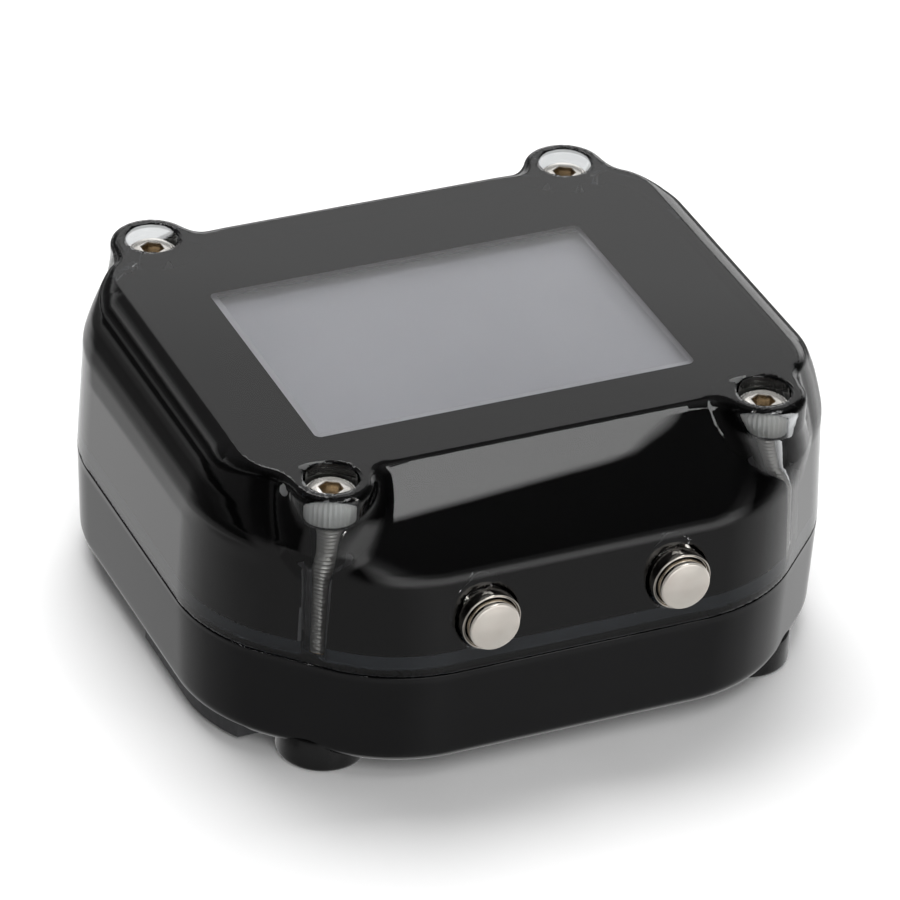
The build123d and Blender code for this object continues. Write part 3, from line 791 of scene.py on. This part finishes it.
def lower_case():
    """Outer skin from the floor up, over the rim and down the inside."""
    side_low = CASE_BOTTOM_Z + CASE_EDGE
    rings = []
    for rise, inset in reversed(round_edge(CASE_EDGE, 9)):
        rings.append(outline_ring(CASE_BOTTOM_Z + rise, inset, side_low))
    for z in np.linspace(side_low, CASE_LEDGE_Z - CASE_RIM, 12)[1:]:
        rings.append(outline_ring(z, 0.0, z))
    for rise, inset in round_edge(CASE_RIM, 5)[1:]:
        rings.append(outline_ring(CASE_LEDGE_Z - rise, inset, CASE_LEDGE_Z))
    for z, inset in CASE_LINING:
        rings.append(outline_ring(z, inset, z))
    make_object("lower_case", *stack(rings), MATERIALS["black_case"],
                replaces="bottom_case", slot="black_case")


lower_case()


# ---- cover screws ----

SCREW_TURNS = 144
KNURLS = 36
KNURL_DEPTH = 0.11
SOCKET_HALF_FLAT = 1.15
SOCKET_DEPTH = 1.5
THREAD_R = 1.5
THREAD_PITCH = 0.5
THREAD_DEPTH = 0.17
THREAD_ROWS = 5
THREAD_START = 0.3
THREAD_RUNOUT = 0.9
TIP_R = 1.15
SOCKET_CHAMFER = 0.05

# Rows of a screw from its head's top at z = 0 down. SOCKET_ROWS are (share of the hexagon's
# radius, height), KNURL_ROWS (beyond the knurl's radius, height), the others (radius, height).
SOCKET_ROWS = ((0.5, -SOCKET_DEPTH - 0.1), (1.0, -SOCKET_DEPTH), (1.0, -0.8), (1.0, -0.12))
CROWN_ROWS = ((2.02, 0.0), (2.1, -0.03), (2.3, -0.2), (2.55, -0.42))
KNURL_ROWS = ((-0.04, -0.45), (0.0, -0.55), (0.0, -SCREW_HEAD_H + 0.25))
FOOT_ROW = (2.55, -SCREW_HEAD_H + 0.05)
NECK_ROWS = ((2.4, -SCREW_HEAD_H), (1.7, -SCREW_HEAD_H), (1.5, -SCREW_HEAD_H - 0.2))
SCREW_ANGLES = 2 * pi * np.arange(SCREW_TURNS) / SCREW_TURNS


def hexagon(half_flat):
    """Radius of a hexagon at each step round a screw."""
    return half_flat / np.cos((SCREW_ANGLES + pi / 6) % (pi / 3) - pi / 6)


def thread_radius(height):
    """Radius of a screw thread at each step round it, at one height."""
    turn = (height / THREAD_PITCH + SCREW_ANGLES / (2 * pi)) % 1.0
    return THREAD_R - THREAD_DEPTH * np.abs(2 * turn - 1)


def knurled_radius():
    """Radius of the knurled head at each step round it."""
    share = np.abs(np.arange(SCREW_TURNS) * 2 * KNURLS / SCREW_TURNS % 2 - 1)
    return SCREW_HEAD_R - KNURL_DEPTH * share


def cap_screw(length):
    """Socket-head screw with its head's top at z = 0.

    Also gives the numbers of faces up to the ends of the socket, the crown and the head.
    """
    socket = hexagon(SOCKET_HALF_FLAT)
    rows = [(share * socket, height) for share, height in SOCKET_ROWS]
    ends = [len(rows) - 1]
    rows += [(socket + SOCKET_CHAMFER, 0.0), *CROWN_ROWS]
    ends.append(len(rows) - 1)
    rows += [(knurled_radius() + beyond, height) for beyond, height in KNURL_ROWS]
    rows.append(FOOT_ROW)
    ends.append(len(rows) - 1)
    rows += NECK_ROWS
    for k in range(int((length - THREAD_RUNOUT) / THREAD_PITCH) * THREAD_ROWS):
        height = -SCREW_HEAD_H - THREAD_START - k * THREAD_PITCH / THREAD_ROWS
        rows.append((thread_radius(height), height))
    rows.append((TIP_R, -SCREW_HEAD_H - length))
    points, faces = turned(rows, SCREW_TURNS)
    return points, faces, np.array(ends) * SCREW_TURNS


def cover_screws():
    """The four screws: socket in painted shade, bright crown, knurled side in painted sheen and
    dull thread in painted shade.
    """
    head_top = SCREW_SEAT_Z + SCREW_HEAD_H
    points, faces, ends = cap_screw(head_top - SCREW_HEAD_H - SCREW_LOW[2])
    places = [(x, y, head_top) for x, y in CORNERS]
    screws = make_object("cap_screws", *repeated(points, faces, places),
                         MATERIALS["plated_steel"], replaces="cover_screws", slot="plated_steel")
    for extra in ("socket_painted_shade", "knurl_painted_sheen", "shank_painted_shade"):
        screws.data.materials.append(MATERIALS[extra])
    # The socket's and the thread's faces take colours of painted shade, the knurled side one of
    # painted sheen.
    plated_index, socket_index, knurl_index, shank_index = range(4)
    order = np.array((socket_index, plated_index, knurl_index, shank_index))
    slots = order[np.searchsorted(ends, np.arange(len(faces)), side="right")]
    socket_floor = -2
    slots[socket_floor] = socket_index
    screws.data.polygons.foreach_set("material_index", np.tile(slots, len(places)))


cover_screws()


# ---- push buttons and their bushings ----
# Both are turned with their front up, then tipped over to face the user.

BUTTON_FRONT = -BUTTON_LOW[1]
BUTTON_BACK = -BUTTON_HIGH[1]
CHAMFER = 0.1
CAP_R = (BUTTON_HIGH[0] - BUTTON_LOW[0]) / 2 - 0.08
CAP_EDGE = 0.3
CAP_EDGE_START = 0.35
CAP_DOME = 0.32
CAP_DOME_START = 0.08
CAP_DEPTH = 3.0
CAP_WALL = 0.5
CAP_HOLLOW = 1.2
STEM_R = 1.2
BUSHING_R = 3.35
BUSHING_RIM = 0.1
BUSHING_RIM_START = -0.6
BUSHING_RIM_DROP = 0.12
BUSHING_BORE = CAP_R + 0.15
BUSHING_SETBACK = 0.28
BUSHING_FRONT = -BUSHING_LOW[1] - BUSHING_SETBACK
BUSHING_BACK = -BUSHING_HIGH[1]
BUSHING_FLANGE_R = (BUSHING_HIGH[0] - BUSHING_LOW[0]) / 2
BUSHING_FLANGE_H = 0.85
BUSHING_FLANGE_EDGE = 0.05

# The bushing's thin inner lip and the groove round it: (beyond the bore, height over the front).
BUSHING_LIP = ((0.0, -0.16), (0.04, -0.12), (0.09, -0.14), (0.13, -0.3))


def button_cap():
    """Domed cap on its stem."""
    rows = []
    for share in np.linspace(CAP_DOME_START, 1.0, 9):
        rows.append((share * (CAP_R - CAP_EDGE), BUTTON_FRONT - CAP_DOME * share**2))
    edge_z = BUTTON_FRONT - CAP_DOME - CAP_EDGE
    rows += rounded(CAP_R - CAP_EDGE, edge_z, CAP_EDGE, CAP_EDGE_START, pi / 2, 6)
    back = BUTTON_FRONT - CAP_DEPTH
    rows += [(CAP_R, back + CHAMFER), (CAP_R - CHAMFER, back), (CAP_R - CAP_WALL, back)]
    rows += [(CAP_R - CAP_WALL, back + CAP_HOLLOW), (STEM_R, back + CAP_HOLLOW)]
    rows += [(STEM_R, BUTTON_BACK + CHAMFER), (STEM_R - CHAMFER, BUTTON_BACK)]
    return turned(rows)


def bushing():
    """Stepped sleeve: a thin inner lip, a groove, a rounded outer ring and a flange behind."""
    flange_z = BUSHING_BACK + BUSHING_FLANGE_H
    rows = [(BUSHING_BORE, BUSHING_BACK + 2 * CHAMFER)]
    rows += [(BUSHING_BORE + beyond, BUSHING_FRONT + height) for beyond, height in BUSHING_LIP]
    rows.append((BUSHING_R - 2 * BUSHING_RIM, BUSHING_FRONT - BUSHING_RIM_DROP))
    rows += rounded(BUSHING_R - BUSHING_RIM, BUSHING_FRONT - BUSHING_RIM, BUSHING_RIM,
                    BUSHING_RIM_START, pi / 2, 7)
    rows += [(BUSHING_R, flange_z + BUSHING_FLANGE_EDGE), (BUSHING_FLANGE_R - CHAMFER, flange_z)]
    rows += [(BUSHING_FLANGE_R, flange_z - CHAMFER), (BUSHING_FLANGE_R, BUSHING_BACK + CHAMFER)]
    rows.append((BUSHING_FLANGE_R - CHAMFER, BUSHING_BACK))
    return turned(rows)


def polish_side(cap):
    """Brighter polish on everything but the cap's face."""
    cap.data.materials.append(MATERIALS["bushing_nickel"])
    depth = face_centres(cap)[:, 1] - BUTTON_LOW[1]
    cap.data.polygons.foreach_set("material_index", (depth > CAP_DOME + CAP_EDGE).astype(int))


def push_buttons():
    """Each side's cap, which rides on its button's body, and its fixed bushing."""
    for side, x in (("left", -BUTTON_X), ("right", BUTTON_X)):
        place = (x, 0, BUTTON_Z)
        points, faces = button_cap()
        node = f"{side}_button"
        cap = make_object(f"{side}_cap", facing_front(points) + place, faces,
                          MATERIALS["button_nickel"], node, SLOTS[node], body=node)
        polish_side(cap)
        points, faces = bushing()
        node = f"{side}_button_bushing"
        make_object(f"{side}_bushing", facing_front(points) + place, faces,
                    MATERIALS["bushing_nickel"], node, SLOTS[node])


push_buttons()


# ---- feet ----

FOOT_EDGE = 0.6
FOOT_TURNS = 72
FOOT_TOP_Z = FOOT_HIGH[2]

# (inset from the foot's radius, height under its top or over the ground), from the top down.
FOOT_SHOULDER = ((0.4, 0.0), (0.1, -0.1), (0.0, -0.4))
FOOT_DISH = ((1.5, 0.0), (1.7, 0.15), (3.0, 0.3))
FOOT_DISH_MIDDLE = (1.0, 0.32)


def feet():
    """Round feet with a shallow dish underneath."""
    rows = [(FOOT_R - inset, FOOT_TOP_Z + height) for inset, height in FOOT_SHOULDER]
    rows += rounded(FOOT_R - FOOT_EDGE, FOOT_EDGE, FOOT_EDGE, pi / 2, pi, 7)
    rows += [(FOOT_R - inset, height) for inset, height in FOOT_DISH]
    rows.append(FOOT_DISH_MIDDLE)
    places = [(x, y, 0) for x, y in CORNERS]
    make_object("rubber_feet", *repeated(*turned(rows, FOOT_TURNS), places),
                MATERIALS["foot_rubber"], replaces="feet", slot="foot_rubber")


feet()


# ---- battery door and its screws ----

DOOR_EDGE = 0.15
DOOR_SCREW_R = 1.9
DOOR_SCREW_LOW, DOOR_SCREW_HIGH = box_mm("door_screws")
DOOR_SCREW_TURNS = 96
DOOR_SHANK_R = 1.0
DOOR_TIP_H = 0.2
DOOR_HEAD_H = 0.9
LOBES = 6
LOBE_R = 0.66
LOBE_DEPTH = 0.13

# (share of the lobes' radius, beyond it, height) of the recess, from its floor up.
RECESS_ROWS = ((0.3, 0.0, -0.65), (1.0, 0.0, -0.6), (1.0, 0.0, -0.08), (1.0, 0.06, 0.0))
DOOR_HEAD_ROWS = (
    (DOOR_SCREW_R - 0.15, 0.0), (DOOR_SCREW_R, -0.15), (DOOR_SCREW_R, 0.1 - DOOR_HEAD_H),
    (DOOR_SCREW_R - 0.1, -DOOR_HEAD_H), (DOOR_SHANK_R, -DOOR_HEAD_H),
)


def door_screws():
    """Flat screws with a six-lobed recess, seen from below."""
    length = DOOR_SCREW_HIGH[2] - DOOR_SCREW_LOW[2]
    turn = 2 * pi * np.arange(DOOR_SCREW_TURNS) / DOOR_SCREW_TURNS
    lobes = LOBE_R + LOBE_DEPTH * np.cos(LOBES * turn)
    rows = [(share * lobes + beyond, height) for share, beyond, height in RECESS_ROWS]
    rows += DOOR_HEAD_ROWS
    rows += [(DOOR_SHANK_R, DOOR_TIP_H - length), (DOOR_SHANK_R - CHAMFER, -length)]
    points, faces = turned(rows, DOOR_SCREW_TURNS)
    head_down = (1, -1, -1)
    middle_y = (DOOR_SCREW_LOW[1] + DOOR_SCREW_HIGH[1]) / 2
    xs = (DOOR_SCREW_LOW[0] + DOOR_SCREW_R, DOOR_SCREW_HIGH[0] - DOOR_SCREW_R)
    places = [(x, middle_y, DOOR_SCREW_LOW[2]) for x in xs]
    make_object("door_screw_set", *repeated(points * head_down, faces, places),
                MATERIALS["plated_steel"], replaces="door_screws", slot="plated_steel")


door_screws()


def soften(node_name, width):
    """Small rounded edges on a CAD piece that is kept as it is."""
    bevel = frame["nodes"][node_name].modifiers.new("edges", "BEVEL")
    bevel.width = width * MM
    bevel.segments = 2
    bevel.limit_method = "ANGLE"


soften("battery_door", DOOR_EDGE)


# ---- camera, floor and light ----

CAMERA_PLACE = Vector((-232.1, -497.11 + CENTRE_Y, 336.63 + SCREW_HIGH[2])) * MM
CAMERA_RIGHT = (0.916, -0.399, 0.0414)
CAMERA_FORWARD = (0.3563, 0.7617, -0.5412)
CAMERA_LENS = 237.13
CAMERA_SENSOR = 36.0
CAMERA_NEAR = 0.01
FLOOR_REACH = 3.0

# Lamps: name, place and aim in millimetres, width and height in millimetres, power in watts.
LAMPS = (
    ("key_overhead", (60, 330, 620), (0, 0, 0), (600, 460), 6.2),
    ("fill_front", (-150, -500, 450), (0, 0, 20), (500, 400), 1.8),
)


def photo_camera():
    """A long lens from the front left, a little above, as in the photograph."""
    lens = bpy.data.cameras.new("photo_camera")
    lens.lens = CAMERA_LENS
    lens.sensor_width = CAMERA_SENSOR
    lens.clip_start = CAMERA_NEAR
    camera = bpy.data.objects.new("photo_camera", lens)
    right = Vector(CAMERA_RIGHT).normalized()
    forward = Vector(CAMERA_FORWARD).normalized()
    up = right.cross(forward)
    turn = Matrix((right, up, -forward)).transposed()
    camera.matrix_world = Matrix.Translation(CAMERA_PLACE) @ turn.to_4x4()
    bpy.context.scene.collection.objects.link(camera)
    bpy.context.scene.camera = camera


def softbox(name, place, aim, size, power):
    """A lamp that lights the scene, and is seen in no reflection: the world has those."""
    light = bpy.data.lights.new(name, "AREA")
    light.shape = "RECTANGLE"
    light.size = size[0] * MM
    light.size_y = size[1] * MM
    light.energy = power
    lamp = bpy.data.objects.new(name, light)
    lamp.location = Vector(place) * MM
    direction = Vector(aim) * MM - lamp.location
    lamp.rotation_euler = direction.to_track_quat("-Z", "Y").to_euler()
    lamp.visible_glossy = False
    bpy.context.scene.collection.objects.link(lamp)


def floor():
    """A plain pale floor, seen directly only. Reflections see the world instead."""
    mesh = bpy.data.meshes.new("floor")
    builder = bmesh.new()
    bmesh.ops.create_grid(builder, x_segments=8, y_segments=8, size=FLOOR_REACH)
    builder.to_mesh(mesh)
    builder.free()
    ground = bpy.data.objects.new("floor", mesh)
    bpy.context.scene.collection.objects.link(ground)
    low = (0.90, 0.90, 0.90)
    high = (0.92, 0.92, 0.92)
    material, shader = node_material("pale_floor", low, 0.7, Specular_IOR_Level=0.1)
    vary(material, noise(material, 3.0), shader.inputs["Base Color"], low, high)
    mesh.materials.append(material)
    ground.visible_glossy = False
    ground.visible_transmission = False


class Graph:
    """Short calls for a node tree."""

    def __init__(self, tree):
        self.tree = tree

    def node(self, kind, *inputs, **settings):
        """A new node, with its inputs linked or set in order."""
        made = self.tree.nodes.new(kind)
        for name, value in settings.items():
            setattr(made, name, value)
        for socket, value in zip(made.inputs, inputs):
            if isinstance(value, bpy.types.NodeSocket):
                self.tree.links.new(value, socket)
            else:
                socket.default_value = value
        return made

    def maths(self, operation, *inputs):
        """The result of one operation."""
        return self.node("ShaderNodeMath", *inputs, operation=operation).outputs[0]

    def levels(self, source, low, high, stops):
        """A grey level that follows source along (value, level) stops."""
        share = self.maths("DIVIDE", self.maths("SUBTRACT", source, low), high - low)
        curve = self.node("ShaderNodeFloatCurve", 1.0, share)
        top = max(level for _, level in stops)
        line = curve.mapping.curves[0]
        while len(line.points) < len(stops):
            line.points.new(0.5, 0.5)
        for point, (value, level) in zip(line.points, stops):
            point.location = ((value - low) / (high - low), level / top)
            point.handle_type = "VECTOR"
        curve.mapping.update()
        return self.maths("MULTIPLY", curve.outputs[0], top)

    def ramp(self, source, start, end, first=0.0, last=1.0):
        """A straight run from first to last while source goes from start to end."""
        return self.node("ShaderNodeMapRange", source, start, end, first, last).outputs[0]

    def band(self, source, low, high, blur):
        """1 between two values, 0 outside them, with blurred ends."""
        rise = self.ramp(source, low - blur, low + blur)
        fall = self.ramp(source, high - blur, high + blur, 1.0, 0.0)
        return self.maths("MULTIPLY", rise, fall)

    def patch(self, height, heights, height_blur, angle, angles, angle_blur):
        """1 inside a range of heights and angles, with blurred edges."""
        across = self.band(height, *heights, height_blur)
        return self.maths("MULTIPLY", across, self.band(angle, *angles, angle_blur))

    def blend(self, a, b, share):
        """a where share is 0, b where it is 1."""
        change = self.maths("MULTIPLY", self.maths("SUBTRACT", b, a), share)
        return self.maths("ADD", a, change)


# Grey levels of the studio round the object. The table's go by compass angle in degrees (0 is
# +X, 90 is +Y). The shares of them and the horizon's levels go by height, the sine of the
# elevation. A blur is half the width of an edge.
TABLE_LEVELS = (
    (-180, 0.28), (-160, 0.26), (-104, 0.27), (-78, 0.38), (-66, 0.34), (-49, 0.32), (-36, 0.42),
    (-21, 0.54), (-9, 0.74), (13, 0.97), (26, 1.1), (36, 1.0), (60, 0.93), (100, 0.92), (114, 0.93),
    (122, 0.76), (134, 0.62), (150, 0.42), (164, 0.34), (180, 0.28),
)
RIGHT_SHARES = (
    (-1.0, 0.6), (-0.62, 0.68), (-0.58, 0.7), (-0.53, 1.0), (-0.25, 1.0), (-0.12, 0.6), (0.0, 0.2),
    (0.2, 0.06), (0.6, 0.04), (0.72, 0.06), (1.0, 0.3),
)
LEFT_SHARES = (
    (-1.0, 0.55), (-0.6, 0.62), (-0.562, 0.65), (-0.54, 1.0), (-0.505, 1.1), (-0.485, 0.76),
    (-0.39, 0.54), (-0.36, 0.3), (-0.33, 0.12), (-0.25, 0.12), (-0.17, 0.24), (-0.14, 0.42),
    (-0.125, 0.34), (-0.11, 0.06), (-0.06, 0.05), (-0.03, 0.36), (0.08, 0.44), (0.14, 0.2),
    (0.26, 0.1), (0.4, 0.08), (0.46, 0.3), (0.5, 0.9), (0.515, 0.88), (0.53, 0.68), (0.555, 0.6),
    (0.6, 0.15), (0.8, 0.08), (1.0, 0.15),
)
HORIZON_LEVELS = (
    (-1.0, 0.0), (-0.3, 0.0), (-0.1, 0.5), (0.05, 1.2), (0.35, 1.1), (0.5, 0.3), (0.64, 0.04),
    (1.0, 0.0),
)
HORIZON_ANGLES = (-112.0, -44.0)
ANGLE_BLUR = 8.0
LEFT_ANGLE = 115.0
LEFT_COSINES = (0.12, 0.28)
REAR_GLOW_LEVEL = 1.5
REAR_GLOW_HEIGHTS = (0.0, 0.4)
REAR_GLOW_ANGLES = (30.0, 78.0)
REAR_GLOW_BLUR = 0.06
STRIP_LEVEL = 2.6
STRIP_HEIGHTS = (0.575, 0.66)
STRIP_ANGLES = (66.5, 72.0)
STRIP_HEIGHT_BLUR = 0.01
STRIP_ANGLE_BLUR = 0.5
SOFTBOX_LEVEL = 3.3
SOFTBOX_HEIGHTS = (0.797, 0.95)
SOFTBOX_HEIGHT_BLUR = 0.003
SOFTBOX_ANGLE_BLUR = 0.3

# The big softbox's left and right ends: (height, angle counted from SOFTBOX_BACK).
SOFTBOX_BACK = -110.0
SOFTBOX_LEFT = ((0.797, 53.0), (0.835, 53.0), (0.86, 40.0), (0.95, 0.0))
SOFTBOX_RIGHT = (
    (0.797, 59.5), (0.815, 62.5), (0.83, 66.0), (0.87, 77.0), (0.895, 88.0), (0.92, 124.0),
    (0.95, 125.0),
)
FULL_TURN = 360.0


def world():
    """The studio as the object's surfaces reflect it."""
    scene_world = bpy.data.worlds.new("studio")
    scene_world.use_nodes = True
    bpy.context.scene.world = scene_world
    graph = Graph(scene_world.node_tree)
    place = graph.node("ShaderNodeTexCoord")
    split = graph.node("ShaderNodeSeparateXYZ", place.outputs["Generated"]).outputs
    angle = graph.maths("DEGREES", graph.maths("ARCTAN2", split["Y"], split["X"]))
    height = split["Z"]
    table = graph.levels(angle, -FULL_TURN / 2, FULL_TURN / 2, TABLE_LEVELS)
    left = graph.levels(height, -1.0, 1.0, LEFT_SHARES)
    right = graph.levels(height, -1.0, 1.0, RIGHT_SHARES)
    turn = graph.maths("RADIANS", graph.maths("SUBTRACT", angle, LEFT_ANGLE))
    to_left = graph.ramp(graph.maths("COSINE", turn), *LEFT_COSINES)
    level = graph.maths("MULTIPLY", table, graph.blend(right, left, to_left))

    horizon = graph.levels(height, -1.0, 1.0, HORIZON_LEVELS)
    horizon = graph.maths("MULTIPLY", horizon, graph.band(angle, *HORIZON_ANGLES, ANGLE_BLUR))
    level = graph.maths("ADD", level, horizon)

    glow = graph.patch(
        height, REAR_GLOW_HEIGHTS, REAR_GLOW_BLUR, angle, REAR_GLOW_ANGLES, ANGLE_BLUR)
    level = graph.blend(level, REAR_GLOW_LEVEL, glow)

    along = graph.maths("SUBTRACT", angle, SOFTBOX_BACK)
    left_end = graph.levels(height, *SOFTBOX_HEIGHTS, SOFTBOX_LEFT)
    right_end = graph.levels(height, *SOFTBOX_HEIGHTS, SOFTBOX_RIGHT)
    box = graph.band(height, *SOFTBOX_HEIGHTS, SOFTBOX_HEIGHT_BLUR)
    for inside in (graph.maths("SUBTRACT", along, left_end),
                   graph.maths("SUBTRACT", right_end, along)):
        box = graph.maths("MULTIPLY", box, graph.band(inside, 0.0, FULL_TURN, SOFTBOX_ANGLE_BLUR))
    level = graph.blend(level, SOFTBOX_LEVEL, box)

    strip = graph.patch(
        height, STRIP_HEIGHTS, STRIP_HEIGHT_BLUR, angle, STRIP_ANGLES, STRIP_ANGLE_BLUR)
    level = graph.blend(level, STRIP_LEVEL, strip)

    background = scene_world.node_tree.nodes["Background"]
    scene_world.node_tree.links.new(level, background.inputs["Strength"])
    background.inputs["Color"].default_value = (1.0, 1.0, 1.0, 1.0)


photo_camera()
floor()
world()
for lamp_facts in LAMPS:
    softbox(*lamp_facts)
bpy.context.scene.view_settings.view_transform = "Standard"
